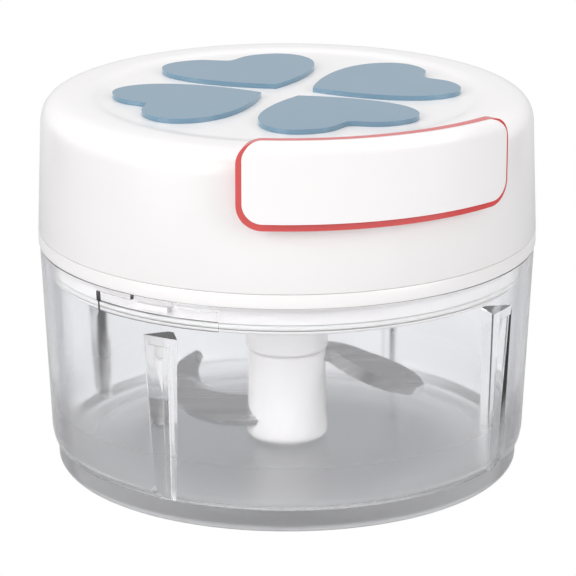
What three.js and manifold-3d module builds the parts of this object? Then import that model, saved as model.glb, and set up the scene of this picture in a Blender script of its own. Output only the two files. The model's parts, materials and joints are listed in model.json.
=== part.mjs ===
// Hand-pulled mini chopper: clear bowl, white lid with four heart inlays, pull grip, recoil reel,
// one-way clutch and a two-blade column.  Millimetres, +Z up, the grip is on the -Y side.
import * as THREE from 'three';
import { mergeVertices } from 'three/addons/utils/BufferGeometryUtils.js';
import Module from 'manifold-3d';

const wasm = await Module();
wasm.setup();

// ---- driving dimensions -------------------------------------------------------------------
const GAP = 0.3;                 // working clearance between pieces
const DEG = Math.PI / 180;
const ROUND = 48;                // sides of the large round pieces

// bowl
const FOOT_R = 39.7;
const FOOT_TOP_Z = 4.1;          // the wall overhangs the foot by a rounded step here
const BOWL_LOW_R = 40.85;        // outer radius where the wall starts above the foot
const BOWL_LOW_Z = 7.9;
const BOWL_TOP_R = 42.3;
const RIM_Z = 39.2;
const WALL = 1.5;
const FLOOR_Z = 3.5;
const INNER_CORNER_R = 3;
const RIB_ANGLES = [-30, 60, 150, 240];
const RIB_TOP_Z = 31.2;
const RIB_TIP_R = 37.2;
const RIB_ROOT_R = 41;
const RIB_ROOT_HALF_WIDTH = 3.64;
const RIB_HALF_WIDTH = 2.25;
const RIB_GROOVE = 1.1;          // depth of the groove behind each rib

// lid
const LID_R = 42.5;
const FLANGE_Z = 39.5;           // underside of the lid's flange
const PARTING_Z = 41.7;          // shell stands on the flange here
const PLUG_R = 40.15;
const PLUG_Z = 34.4;
const WEB_Z = 37.6;
const WEB_THICK = 2;
const SEAL_Z = 35.1;
const SEAL_TOP_Z = 36;
const SHOULDER_R = 41.77;        // widest point of the shoulder
const SHOULDER_Z = 59.8;
const SHOULDER_POWER = 4.6;      // the shoulder is a squarish oval corner
const SHOULDER_ROUND = 2.28;
const TOP_Z = 64.55;
const TOP_FLAT_R = 33;
const TOP_SINK = 0.45;            // the middle of the top lies a little lower than its rim
const SUNKEN_R = 32;
const SHELL_WALL = 1.9;
const LUG_ANGLE = -31.7;
const LUG_R = 41.3;
const LUG_HALF_TURN = 4.1;
const LUG_Z = 36.9;
const LUG_TOP_Z = 37.8;
const POCKET_R = 41.6;           // the lugs' pockets in the bowl
const POCKET_HALF_TURN = 16.3;
const POCKET_Z = 36.4;
const POCKET_TOP_Z = 38.1;
const NOTCH_HALF_TURN = 5.5;
const RELIEF_R = 41;             // shallow step under each pocket
const RELIEF_Z = 34.7;
const BOSS_R = 33.5;

// pull grip and cord
const PULL_ANGLE = 20.5;         // direction of the pull, turned from -Y towards +X
const PULL = new THREE.Vector3(Math.sin(PULL_ANGLE * DEG), -Math.cos(PULL_ANGLE * DEG), 0);
const CORD_Z = 56.2;
const CORD_R = 1;
const GRIP_HALF_WIDTH = 22.3;
const GRIP_BOTTOM_Z = 54.3;
const GRIP_TOP_Z = 67.6;
const GRIP_R = 46.1;             // outer face of the grip plate
const GRIP_BACK_R = 44.75;
const RIM_HALF_WIDTH = 23.2;
const RIM_BOTTOM_Z = 52.8;
const RIM_TOP_Z = 67.4;
const RIM_BACK_R = 42.5;

const BOSS_ANGLES = [45, 135, 225, 315].map((turn) => turn + PULL_ANGLE);

// recoil reel and clutch
const ARBOR_R = 2.6;
const DRUM_R = 13.6;
const WINDING_R = 15;            // mean radius of the cord on the drum
const REEL_FLANGE_R = 20;
const REEL_Z = 52.3;
const REEL_TOP_Z = 60.6;
const RATCHET_Z = 48.4;
const RATCHET_TOP_Z = 51.2;
const TEETH = 12;
const PAWL_R = 14;
const PAWL_ANGLE = 75;

// blade column
const COLUMN_R = 6.8;
const COLLAR_R = 7.1;
const COLUMN_Z = 3.8;
const COLLAR_Z = 19.6;
const COLLAR_TOP_Z = 36.4;
const HEX_R = 4.3;
const HEX_TOP_Z = 43;
const PIN_R = 1.5;
const BLADE_THICK = 1;

// ---- materials -----------------------------------------------------------------------------
const finish = (color, roughness, metalness = 0, extra = {}) =>
  new THREE.MeshStandardMaterial({ color, roughness, metalness, ...extra });
const clearPlastic = finish(0xdfe1e6, 0.08, 0, { transparent: true, opacity: 0.35 });
const whitePlastic = finish(0xf1efee, 0.3);
const bluePlastic = finish(0x86aabf, 0.35);
const redPlastic = finish(0xd95252, 0.35);
const steel = finish(0x9a9da2, 0.25, 1);
const rubber = finish(0xeeeeec, 0.7);
const cordWeave = finish(0xeceae6, 0.85);
const darkPlastic = finish(0x55585c, 0.45);

// ---- shape helpers -------------------------------------------------------------------------
const root = new THREE.Group();

function toSolid(geometry) {
  const bare = geometry.clone();
  bare.deleteAttribute('normal');
  bare.deleteAttribute('uv');
  const merged = mergeVertices(bare, 1e-4);
  const triangles = [];
  const index = merged.index.array;
  for (let i = 0; i < index.length; i += 3) {
    const [a, b, c] = [index[i], index[i + 1], index[i + 2]];
    if (a !== b && b !== c && c !== a) triangles.push(a, b, c);
  }
  return new wasm.Manifold(new wasm.Mesh({
    numProp: 3,
    vertProperties: Float32Array.from(merged.attributes.position.array),
    triVerts: Uint32Array.from(triangles),
  }));
}

function toGeometry(solid) {
  const mesh = solid.getMesh();
  const geometry = new THREE.BufferGeometry();
  geometry.setAttribute('position', new THREE.BufferAttribute(mesh.vertProperties, 3));
  geometry.setIndex(new THREE.BufferAttribute(mesh.triVerts, 1));
  return geometry;
}

function place(name, solid, material) {
  const mesh = new THREE.Mesh(toGeometry(solid), material);
  mesh.name = name;
  root.add(mesh);
}

const joined = (...solids) => solids.reduce((sum, next) => sum.add(next));
const cut = (solid, ...tools) => tools.reduce((rest, tool) => rest.subtract(tool), solid);

// a closed profile of [radius, height] pairs turned round the Z axis
function turned(profile, sides = 32) {
  const points = profile.map(([r, z]) => new THREE.Vector2(r, z));
  if (profile[0][0] > 0) points.push(points[0].clone());
  const geometry = new THREE.LatheGeometry(points, sides);
  geometry.rotateX(Math.PI / 2);
  const solid = toSolid(geometry);
  return solid.volume() > 0 ? solid : toSolid(new THREE.LatheGeometry(points.reverse(), sides)
    .rotateX(Math.PI / 2));
}

const disc = (radius, z0, z1, sides = 20) => turned([[0, z0], [radius, z0], [radius, z1], [0, z1]], sides);
const ring = (inner, outer, z0, z1, sides = 24) =>
  turned([[inner, z0], [outer, z0], [outer, z1], [inner, z1]], sides);

// a flat outline of [x, y] pairs raised from z0 to z1
function slab(outline, z0, z1) {
  const shape = outline instanceof THREE.Shape
    ? outline
    : new THREE.Shape(outline.map(([x, y]) => new THREE.Vector2(x, y)));
  const options = { depth: z1 - z0, bevelEnabled: false, curveSegments: 6 };
  const geometry = new THREE.ExtrudeGeometry(shape, options);
  geometry.translate(0, 0, z0);
  return toSolid(geometry);
}

const polar = (radius, degrees) =>
  [radius * Math.sin(degrees * DEG), -radius * Math.cos(degrees * DEG)];

// a wedge-shaped stretch of a ring, angles turned from -Y towards +X
function ringSector(inner, outer, z0, z1, fromDeg, toDeg, stepDeg = 6) {
  const steps = Math.ceil(Math.abs(toDeg - fromDeg) / stepDeg);
  const outline = [];
  for (let i = 0; i <= steps; i += 1) outline.push(polar(outer, fromDeg + ((toDeg - fromDeg) * i) / steps));
  for (let i = steps; i >= 0; i -= 1) outline.push(polar(inner, fromDeg + ((toDeg - fromDeg) * i) / steps));
  return slab(outline, z0, z1);
}

// turn a solid built along X round the Z axis, so that X points at the given angle
const aim = (solid, degrees) => solid.rotate([0, 0, degrees - 90]);
const rod = (radius, from, to, sides = 12) => {
  const length = from.distanceTo(to);
  const geometry = new THREE.CylinderGeometry(radius, radius, length, sides);
  geometry.applyQuaternion(new THREE.Quaternion().setFromUnitVectors(
    new THREE.Vector3(0, 1, 0), to.clone().sub(from).normalize()));
  const middle = from.clone().add(to).multiplyScalar(0.5);
  geometry.translate(middle.x, middle.y, middle.z);
  return toSolid(geometry);
};
const alongPull = (distance, z = CORD_Z) =>
  new THREE.Vector3(PULL.x * distance, PULL.y * distance, z);

// ---- bowl ----------------------------------------------------------------------------------
function bowlProfile() {
  const outer = [
    [0, 0], [FOOT_R - 1.3, 0], [FOOT_R - 0.6, 0.4], [FOOT_R - 0.15, 1.1], [FOOT_R, 1.9],
    [FOOT_R, FOOT_TOP_Z],
  ];
  for (let i = 1; i <= 5; i += 1) {
    const t = (i / 5) * (Math.PI / 2);
    outer.push([
      FOOT_R + (BOWL_LOW_R - FOOT_R) * Math.sin(t),
      BOWL_LOW_Z - (BOWL_LOW_Z - FOOT_TOP_Z) * Math.cos(t),
    ]);
  }
  outer.push([BOWL_TOP_R, RIM_Z], [BOWL_TOP_R - WALL, RIM_Z]);
  const insideLow = BOWL_LOW_R - WALL;
  outer.push([insideLow, FLOOR_Z + INNER_CORNER_R]);
  for (let i = 1; i <= 4; i += 1) {
    const t = (i / 4) * (Math.PI / 2);
    outer.push([
      insideLow - INNER_CORNER_R * (1 - Math.cos(t)),
      FLOOR_Z + INNER_CORNER_R * (1 - Math.sin(t)),
    ]);
  }
  outer.push([0, FLOOR_Z]);
  return outer;
}

const bowlOuterAt = (z) =>
  BOWL_LOW_R + ((BOWL_TOP_R - BOWL_LOW_R) * (z - BOWL_LOW_Z)) / (RIM_Z - BOWL_LOW_Z);

function bowlInnerAt(z) {
  const low = FLOOR_Z + INNER_CORNER_R;
  return BOWL_LOW_R - WALL + ((BOWL_TOP_R - BOWL_LOW_R) * (z - low)) / (RIM_Z - low);
}

// inward ridge of a fold, its sides about parallel to the groove behind it
function rib(degrees) {
  const [wide, blunt] = [RIB_ROOT_HALF_WIDTH, 0.5];
  const outline = [
    [RIB_TIP_R, blunt], [RIB_ROOT_R, wide], [RIB_ROOT_R, -wide], [RIB_TIP_R, -blunt],
  ];
  const [bottom, top] = [FLOOR_Z - 0.5, RIB_TOP_Z + 1.2];
  const inWall = 0.3;
  const within = turned([
    [0, bottom], [bowlInnerAt(bottom) + inWall, bottom], [bowlInnerAt(top) + inWall, top], [0, top],
  ], ROUND);
  return aim(slab(outline, bottom, top), degrees).intersect(within);
}

// shallow outside groove of a fold, leaning with the wall
function ribGroove(degrees) {
  const lean = Math.atan((BOWL_TOP_R - BOWL_LOW_R) / (RIM_Z - BOWL_LOW_Z)) / DEG;
  const outside = 4;
  const mouth = RIB_HALF_WIDTH * ((outside + RIB_GROOVE) / RIB_GROOVE);
  const tool = slab([[-RIB_GROOVE, 0], [outside, -mouth], [outside, mouth]], -RIB_TOP_Z, 0);
  return aim(tool.rotate([0, lean, 0]).translate([bowlOuterAt(RIB_TOP_Z), 0, RIB_TOP_Z]), degrees)
    .subtract(disc(BOWL_TOP_R + 10, -9, FLOOR_Z + 1, 8));
}

function makeBowl() {
  let bowl = turned(bowlProfile(), ROUND);
  bowl = joined(bowl, ...RIB_ANGLES.map(rib));
  bowl = cut(bowl, ...RIB_ANGLES.map(ribGroove));
  const inside = 38;
  for (const turn of [0, 180]) {
    const middle = LUG_ANGLE + turn;
    const [from, to] = [middle - POCKET_HALF_TURN, middle + POCKET_HALF_TURN];
    bowl = cut(bowl,
      ringSector(inside, POCKET_R, POCKET_Z, POCKET_TOP_Z, from, to),
      ringSector(inside, RELIEF_R, RELIEF_Z, POCKET_Z + 0.1, from, to),
      ringSector(inside, POCKET_R, POCKET_TOP_Z - 0.1, RIM_Z + 1,
        middle - NOTCH_HALF_TURN, middle + NOTCH_HALF_TURN));
  }
  return cut(bowl, disc(PIN_R + 0.05, 2.2, FLOOR_Z + 2, 24));
}
place('bowl', makeBowl(), clearPlastic);
place('bowl_pin', turned([[0, 2.3], [PIN_R, 2.3], [PIN_R, 10.4], [1, 11], [0, 11]], 24), whitePlastic);

// ---- lid -----------------------------------------------------------------------------------
// height of the shoulder at a radius between the flat top and the widest point
function shoulderZ(radius) {
  const x = (radius - TOP_FLAT_R) / (SHOULDER_R - TOP_FLAT_R);
  const rest = 1 - Math.min(1, Math.max(0, x)) ** SHOULDER_POWER;
  return SHOULDER_Z + (TOP_Z - SHOULDER_Z) * rest ** (1 / SHOULDER_ROUND);
}

// outer line of the lid from the top edge down to the parting, pushed in along its normal
function lidLine(inset) {
  const points = [];
  const steps = 7;
  for (let i = 0; i <= steps; i += 1) {
    const t = Math.sin((i / steps) * (Math.PI / 2)) ** 0.6;
    const r = TOP_FLAT_R + (SHOULDER_R - TOP_FLAT_R) * t;
    points.push([r, shoulderZ(r)]);
  }
  points.push([LID_R, PARTING_Z + 0.05]);
  return points.map(([r, z], i) => {
    const before = points[Math.max(0, i - 1)];
    const after = points[Math.min(points.length - 1, i + 1)];
    const length = Math.hypot(after[0] - before[0], after[1] - before[1]);
    const normal = [-(after[1] - before[1]) / length, (after[0] - before[0]) / length];
    return [r - normal[0] * inset, z - normal[1] * inset];
  });
}

function shellBoss(degrees) {
  const [x, y] = polar(BOSS_R, degrees);
  const post = disc(3, WEB_Z + WEB_THICK + GAP, TOP_Z - SHELL_WALL + 0.4, 12);
  return post.translate([x, y, 0]);
}

function makeShell() {
  const outside = [[0, TOP_Z - TOP_SINK], [SUNKEN_R, TOP_Z - TOP_SINK], ...lidLine(0)];
  const inside = lidLine(SHELL_WALL).reverse();
  inside[0] = [LID_R - SHELL_WALL, PARTING_Z + 0.05];
  let shell = turned([...outside, ...inside, [0, TOP_Z - SHELL_WALL]], ROUND);
  const arbor = disc(ARBOR_R, REEL_Z - 0.5, TOP_Z - SHELL_WALL + 0.4, 24);
  shell = joined(shell, arbor, ...BOSS_ANGLES.map(shellBoss));
  const pilots = BOSS_ANGLES.map((degrees) => {
    const [x, y] = polar(BOSS_R, degrees);
    return disc(1.35, WEB_Z, 50, 8).translate([x, y, 0]);
  });
  const arborHole = disc(1.2, REEL_Z - 2, 58, 12);
  const cordHole = rod(3.1, alongPull(36), alongPull(48), 24);
  return cut(shell, ...pilots, arborHole, cordHole, ...heartPegHoles());
}

// heart inlay: outline in its own frame, the point towards the middle of the lid
function heartShape() {
  const shape = new THREE.Shape();
  shape.moveTo(25.3, 0);
  shape.bezierCurveTo(25.9, 2.2, 28.1, 3, 28.1, 6.7);
  shape.bezierCurveTo(28.1, 10.4, 26.2, 13.5, 21.4, 13.5);
  shape.bezierCurveTo(15.8, 13.5, 9.1, 7.4, 4.7, 0);
  shape.bezierCurveTo(9.1, -7.4, 15.8, -13.5, 21.4, -13.5);
  shape.bezierCurveTo(26.2, -13.5, 28.1, -10.4, 28.1, -6.7);
  shape.bezierCurveTo(28.1, -3, 25.9, -2.2, 25.3, 0);
  return shape;
}
const HEART_ANGLES = [0, 90, 180, 270].map((turn) => turn + PULL_ANGLE + 2.7);
const CLOVER_WIDTH = 1.01;       // the clover of hearts is slightly wider than deep
const CLOVER_DEPTH = 0.94;
const HEART_PEGS = [[13, 0], [22, 6], [22, -6]];
const HEART_BASE_Z = TOP_Z - TOP_SINK + 0.05;
const HEART_TOP_Z = HEART_BASE_Z + 0.8;

const inClover = (solid, degrees) => aim(solid, degrees).scale([CLOVER_WIDTH, CLOVER_DEPTH, 1]);

function heartPegHoles() {
  return HEART_ANGLES.flatMap((degrees) => HEART_PEGS.map(([x, y]) =>
    inClover(disc(1.2, TOP_Z - 5, TOP_Z + 1, 8).translate([x, y, 0]), degrees)));
}

function makeHeart(degrees) {
  const pegs = HEART_PEGS.map(([x, y]) =>
    disc(0.9, TOP_Z - 1.5, HEART_BASE_Z + 0.3, 8).translate([x, y, 0]));
  return inClover(joined(slab(heartShape(), HEART_BASE_Z, HEART_TOP_Z), ...pegs), degrees);
}

function makeLidBase() {
  let base = turned([
    [7.4, WEB_Z], [PLUG_R - 2, WEB_Z], [PLUG_R - 2, PLUG_Z], [PLUG_R - 0.3, PLUG_Z], [PLUG_R, PLUG_Z + 0.5],
    [PLUG_R, SEAL_Z - 0.1], [PLUG_R - 0.8, SEAL_Z - 0.1], [PLUG_R - 0.8, SEAL_TOP_Z + 0.1],
    [PLUG_R, SEAL_TOP_Z + 0.1],
    [PLUG_R, FLANGE_Z], [LID_R - 0.3, FLANGE_Z], [LID_R, FLANGE_Z + 0.4], [LID_R, PARTING_Z],
    [LID_R - SHELL_WALL, PARTING_Z], [LID_R - SHELL_WALL - GAP, PARTING_Z + 1.6],
    [LID_R - SHELL_WALL - 1.6, PARTING_Z + 1.6], [LID_R - SHELL_WALL - 1.6, WEB_Z + WEB_THICK],
    [10.5, WEB_Z + WEB_THICK], [10.5, 41.2], [7.4, 41.2],
  ], ROUND);
  for (const turn of [0, 180]) {
    const middle = LUG_ANGLE + turn;
    base = joined(base, ringSector(PLUG_R - 0.5, LUG_R, LUG_Z, LUG_TOP_Z,
      middle - LUG_HALF_TURN, middle + LUG_HALF_TURN));
  }
  const holes = BOSS_ANGLES.map((degrees) => {
    const [x, y] = polar(BOSS_R, degrees);
    return disc(1.7, WEB_Z - 1, WEB_Z + WEB_THICK + 1, 10).translate([x, y, 0]);
  });
  return cut(base, ...holes);
}

function makeScrew(degrees) {
  const [x, y] = polar(BOSS_R, degrees);
  const body = turned([[0, WEB_Z - 1.5], [2.1, WEB_Z - 1.5], [2.6, WEB_Z - 1], [2.6, WEB_Z],
    [1.1, WEB_Z], [1.1, 48], [0, 49]], 12);
  const slot = disc(0.8, WEB_Z - 2, WEB_Z - 0.7, 6);
  return cut(body, slot).translate([x, y, 0]);
}

place('lid_shell', makeShell(), whitePlastic);
place('lid_base', makeLidBase(), whitePlastic);
HEART_ANGLES.forEach((degrees, i) => place(`heart_${i + 1}`, makeHeart(degrees), bluePlastic));
BOSS_ANGLES.forEach((degrees, i) => place(`lid_screw_${i + 1}`, makeScrew(degrees), steel));
place('lid_seal', ring(PLUG_R - 0.65, PLUG_R + 0.25, SEAL_Z, SEAL_TOP_Z, ROUND), rubber);

// eyelet that lines the cord's way through the wall
function makeEyelet() {
  const sleeve = rod(2.8, alongPull(37.2), alongPull(42.6), 24);
  const face = rod(4.1, alongPull(42.25), alongPull(43), 28);
  const bore = rod(1.5, alongPull(36), alongPull(44), 16);
  return cut(joined(sleeve, face), bore);
}
place('cord_eyelet', makeEyelet(), whitePlastic);

// ---- pull grip: a curved white plate on a slightly larger red rim piece ---------------------
// upright rounded outline, swept along the pull direction
function gripOutline(halfWidth, bottom, top, corner) {
  const shape = new THREE.Shape();
  shape.moveTo(-halfWidth + corner, bottom);
  shape.lineTo(halfWidth - corner, bottom);
  shape.absarc(halfWidth - corner, bottom + corner, corner, -Math.PI / 2, 0, false);
  shape.absarc(halfWidth - corner, top - corner, corner, 0, Math.PI / 2, false);
  shape.absarc(-halfWidth + corner, top - corner, corner, Math.PI / 2, Math.PI, false);
  shape.absarc(-halfWidth + corner, bottom + corner, corner, Math.PI, 1.5 * Math.PI, false);
  const geometry = new THREE.ExtrudeGeometry(shape, { depth: 40, bevelEnabled: false, curveSegments: 5 });
  geometry.rotateX(Math.PI / 2);
  geometry.translate(0, -15, 0);
  geometry.rotateZ(PULL_ANGLE * DEG);
  return toSolid(geometry);
}

const gripBand = turned([[GRIP_BACK_R, 50], [GRIP_R, 50], [GRIP_R, GRIP_TOP_Z - 2.2],
  [GRIP_R - 0.4, GRIP_TOP_Z - 0.9], [GRIP_R - 1, GRIP_TOP_Z], [GRIP_BACK_R, GRIP_TOP_Z]], ROUND);
const rimBand = ring(RIM_BACK_R, GRIP_BACK_R - 0.15, 50, RIM_TOP_Z, ROUND);
const pocket = rod(4.5, alongPull(40), alongPull(43.3), 28);
const knotHole = rod(2.2, alongPull(43), alongPull(47), 20);
place('handle_grip', gripBand.intersect(
  gripOutline(GRIP_HALF_WIDTH, GRIP_BOTTOM_Z, GRIP_TOP_Z, 3.2)), whitePlastic);
place('handle_rim', cut(rimBand.intersect(
  gripOutline(RIM_HALF_WIDTH, RIM_BOTTOM_Z, RIM_TOP_Z, 4)), pocket, knotHole), redPlastic);
place('cord_knot', rod(1.9, alongPull(43.35), alongPull(44.5), 16), cordWeave);
place('cord_outer', rod(CORD_R, alongPull(36.4), alongPull(43.3), 8), cordWeave);

// ---- recoil reel ---------------------------------------------------------------------------
function makeReel() {
  const body = turned([
    [ARBOR_R + GAP, REEL_Z], [REEL_FLANGE_R, REEL_Z], [REEL_FLANGE_R, REEL_Z + 1], [DRUM_R, REEL_Z + 1],
    [DRUM_R, REEL_TOP_Z - 1], [REEL_FLANGE_R, REEL_TOP_Z - 1], [REEL_FLANGE_R, REEL_TOP_Z],
    [DRUM_R - 1.4, REEL_TOP_Z], [DRUM_R - 1.4, REEL_Z + 1.2], [ARBOR_R + GAP, REEL_Z + 1.2],
  ], 32);
  const pins = [0, 180].map((turn) => {
    const pin = disc(1.2, RATCHET_Z - 0.4, REEL_Z + 0.3, 16);
    const head = disc(2.2, RATCHET_Z - 0.6, RATCHET_Z, 20);
    return aim(joined(pin, head).translate([PAWL_R, 0, 0]), PAWL_ANGLE + turn);
  });
  return joined(body, ...pins);
}
place('cord_reel', makeReel(), darkPlastic);
place('cord_winding', ring(DRUM_R + 0.1, WINDING_R + 1.4, REEL_Z + 1.2, REEL_TOP_Z - 1.2, 32), cordWeave);
place('reel_cap', ring(ARBOR_R + GAP + 0.2, DRUM_R - 1.6, REEL_TOP_Z - 0.7, REEL_TOP_Z - 0.1, 32),
  darkPlastic);

// flat spiral spring, inner end by the arbor, outer end by the drum
function makeSpring() {
  const turns = 4;
  const steps = turns * 16;
  const [r0, r1] = [4, DRUM_R - 2.6];
  const edge = (side) => Array.from({ length: steps + 1 }, (_, i) => {
    const r = r0 + ((r1 - r0) * i) / steps + side * 0.25;
    return polar(r, (360 * turns * i) / steps);
  });
  return slab([...edge(1), ...edge(-1).reverse()], REEL_Z + 1.7, REEL_TOP_Z - 1.2);
}
place('recoil_spring', makeSpring(), steel);
place('arbor_washer', ring(1.3, 4.6, REEL_Z - 1.3, REEL_Z - 0.6, 24), steel);
place('arbor_screw', turned([[0, RATCHET_Z + 0.9], [2.3, RATCHET_Z + 0.9], [2.6, RATCHET_Z + 1.3],
  [2.6, REEL_Z - 1.35], [1, REEL_Z - 1.35], [1, 57], [0, 57.6]], 20), steel);

// inner stretch of cord, from the eyelet to where it meets the winding
function makeInnerCord() {
  const start = alongPull(35.9);
  const side = new THREE.Vector3(-PULL.y, PULL.x, 0);
  const lean = Math.asin((WINDING_R + 2.6) / 35.9);
  const end = PULL.clone().multiplyScalar((WINDING_R + 2.6) * Math.sin(lean))
    .add(side.multiplyScalar((WINDING_R + 2.6) * Math.cos(lean)));
  end.z = CORD_Z;
  return rod(CORD_R, start, end, 8);
}
place('cord_inner', makeInnerCord(), cordWeave);

// ---- one-way clutch ------------------------------------------------------------------------
function ratchetOutline() {
  const outline = [];
  for (let i = 0; i < TEETH; i += 1) {
    const angle = (360 / TEETH) * i;
    outline.push(polar(6.7, angle), polar(8.2, angle + 2), polar(7.7, angle + 10));
  }
  return outline;
}

function makeDrive() {
  const ratchet = slab(ratchetOutline(), RATCHET_Z, RATCHET_TOP_Z);
  const stem = turned([[0, 37], [COLLAR_R, 37], [COLLAR_R, 41.5], [9.4, 41.5], [9.4, 42.6],
    [6.6, 42.6], [6.6, RATCHET_Z + 0.5], [0, RATCHET_Z + 0.5]], 32);
  const well = disc(5, RATCHET_Z - 1, RATCHET_TOP_Z + 1, 24);
  const socket = slab(hexOutline(HEX_R + GAP + 0.1), 36, HEX_TOP_Z + 0.5);
  return cut(joined(stem, ratchet), well, socket);
}

function hexOutline(radius) {
  return [0, 1, 2, 3, 4, 5].map((i) => polar(radius, 60 * i + 30));
}
place('drive_coupling', makeDrive(), darkPlastic);

// pawl: a short arm from its pin to a nose that rests behind a tooth
function makePawl(turn) {
  const eye = ring(1.5, 2.7, RATCHET_Z + 0.3, RATCHET_TOP_Z - 0.2, 20);
  const outline = [[-2.4, -0.6], [-5.4, 3.2], [-8.25, 4.6], [-8, 5.6], [-7, 6.4], [-4.6, 5.6], [-0.2, 2.6]];
  const arm = slab(outline, RATCHET_Z + 0.3, RATCHET_TOP_Z - 0.2);
  return aim(joined(eye, arm).translate([PAWL_R, 0, 0]), PAWL_ANGLE + turn);
}

// wire spring round the pawl's eye, open where the arm leaves it
function makePawlSpring(turn) {
  const wire = ringSector(3.05, 3.6, RATCHET_Z + 0.8, RATCHET_Z + 1.5, 277, 536, 24);
  return aim(wire.translate([PAWL_R, 0, 0]), PAWL_ANGLE + turn);
}
for (const [i, turn] of [0, 180].entries()) {
  place(`pawl_${i + 1}`, makePawl(turn), steel);
  place(`pawl_spring_${i + 1}`, makePawlSpring(turn), steel);
}

// ---- blade column --------------------------------------------------------------------------
// a curved blade: centre line and width along it, then pitched about its own root line
function bladePlate(centre, widths, thickness, pitch, z) {
  const curve = new THREE.CatmullRomCurve3(centre.map(([x, y]) => new THREE.Vector3(x, y, 0)));
  const steps = 12;
  const [left, right] = [[], []];
  for (let i = 0; i <= steps; i += 1) {
    const t = i / steps;
    const point = curve.getPoint(t);
    const tangent = curve.getTangent(t);
    const k = Math.min(widths.length - 2, Math.floor(t * (widths.length - 1)));
    const local = t * (widths.length - 1) - k;
    const half = (widths[k] + (widths[k + 1] - widths[k]) * local) / 2;
    left.push([point.x - tangent.y * half, point.y + tangent.x * half]);
    right.push([point.x + tangent.y * half, point.y - tangent.x * half]);
  }
  const flat = slab([...left, ...right.reverse()], -thickness / 2, thickness / 2);
  return flat.rotate([pitch, 0, 0]).translate([0, 0, z]);
}
const UPPER = {
  centre: [[4, 0.6], [8.5, -0.6], [12.4, -4.2], [16.2, -7.6], [19.7, -10.8], [22, -13.2]],
  widths: [4.4, 5.4, 7, 7.6, 6.4, 3.2], pitch: 12, z: 18.7,
};
const LOWER = {
  centre: [[-4, -0.4], [-9.5, -0.6], [-14.5, 1], [-17.6, 4.8], [-17.6, 9.6], [-15.6, 13.6]],
  widths: [8.6, 9.4, 8.6, 6.4, 4, 1.4], pitch: 22, z: 9,
};
const blade = (spec, thickness, grow = 0) =>
  bladePlate(spec.centre, spec.widths.map((w) => w + grow), thickness, spec.pitch, spec.z);

// the blade's tongue leaves a clear slot of the same slope in the column
function bladeSlot(spec) {
  return blade(spec, BLADE_THICK + 2 * GAP, 2 * GAP).add(
    bladePlate([[Math.sign(spec.centre[0][0]) * 3.4, spec.centre[0][1]], spec.centre[1]],
      [spec.widths[0] + 2 * GAP, spec.widths[1] + 2 * GAP], BLADE_THICK + 2 * GAP, spec.pitch, spec.z));
}

function makeColumn() {
  const body = turned([[0, COLUMN_Z], [6, COLUMN_Z], [7, COLUMN_Z + 0.9], [7, COLUMN_Z + 2.4],
    [COLUMN_R, COLUMN_Z + 3.4], [COLUMN_R - 0.1, COLLAR_Z - 0.4], [COLUMN_R - 0.5, COLLAR_Z - 0.1],
    [0, COLLAR_Z - 0.1]], 28);
  return cut(body, disc(3.2, COLUMN_Z - 1, COLUMN_Z + 4.6, 24), disc(PIN_R + 0.35, COLUMN_Z - 1, 12.5, 24),
    bladeSlot(LOWER), bladeSlot(UPPER));
}

function makeCollar() {
  const body = turned([[0, COLLAR_Z], [COLLAR_R - 0.5, COLLAR_Z], [COLLAR_R, COLLAR_Z + 0.7],
    [COLLAR_R, COLLAR_TOP_Z], [0, COLLAR_TOP_Z]], 28);
  const hex = slab(hexOutline(HEX_R), COLLAR_TOP_Z - 0.5, HEX_TOP_Z);
  return cut(joined(body, hex), bladeSlot(UPPER));
}
place('blade_column', makeColumn(), whitePlastic);
place('blade_collar', makeCollar(), whitePlastic);
place('blade_bush', ring(PIN_R + 0.3, 3.1, COLUMN_Z + 0.2, COLUMN_Z + 4.5, 24), steel);
place('upper_blade', blade(UPPER, BLADE_THICK), steel);
place('lower_blade', blade(LOWER, BLADE_THICK), steel);

export default root;
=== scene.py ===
# %% [markdown]
# # A hand-pulled mini chopper
# The object is a clear bowl with a white lid.  Four blue hearts lie on the lid, and a white grip with a
# red rim hangs on its side.  Pulling the grip draws a cord off a sprung reel, which spins two steel blades.
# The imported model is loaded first, as a frame that stays as it is.  Every place below comes from that
# frame or from a few named sizes, so each new piece lands exactly where the working model has it.

# %% Load the frame
import json
import math

import bmesh
import bpy
from mathutils import Matrix, Vector


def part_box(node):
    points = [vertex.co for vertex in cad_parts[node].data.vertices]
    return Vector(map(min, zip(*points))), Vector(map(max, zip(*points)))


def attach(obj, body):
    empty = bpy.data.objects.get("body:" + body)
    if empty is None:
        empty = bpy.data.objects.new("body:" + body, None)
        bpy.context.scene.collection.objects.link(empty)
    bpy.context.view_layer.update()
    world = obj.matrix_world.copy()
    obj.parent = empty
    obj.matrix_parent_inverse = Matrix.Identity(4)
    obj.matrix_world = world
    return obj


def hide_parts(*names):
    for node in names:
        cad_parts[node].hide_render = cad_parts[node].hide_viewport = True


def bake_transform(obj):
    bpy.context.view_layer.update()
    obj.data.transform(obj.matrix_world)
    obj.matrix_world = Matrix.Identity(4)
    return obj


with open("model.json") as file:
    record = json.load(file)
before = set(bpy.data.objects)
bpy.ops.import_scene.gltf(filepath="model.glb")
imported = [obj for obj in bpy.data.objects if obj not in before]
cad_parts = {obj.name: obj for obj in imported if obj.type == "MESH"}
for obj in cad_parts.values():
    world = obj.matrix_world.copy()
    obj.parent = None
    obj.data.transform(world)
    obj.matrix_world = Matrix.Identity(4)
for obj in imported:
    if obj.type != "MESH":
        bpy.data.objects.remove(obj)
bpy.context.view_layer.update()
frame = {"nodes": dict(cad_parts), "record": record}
MM = 0.001


def low(node):
    """Height of a node's underside, in millimetres."""
    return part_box(node)[0].z / MM


def high(node):
    """Height of a node's top, in millimetres."""
    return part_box(node)[1].z / MM


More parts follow.
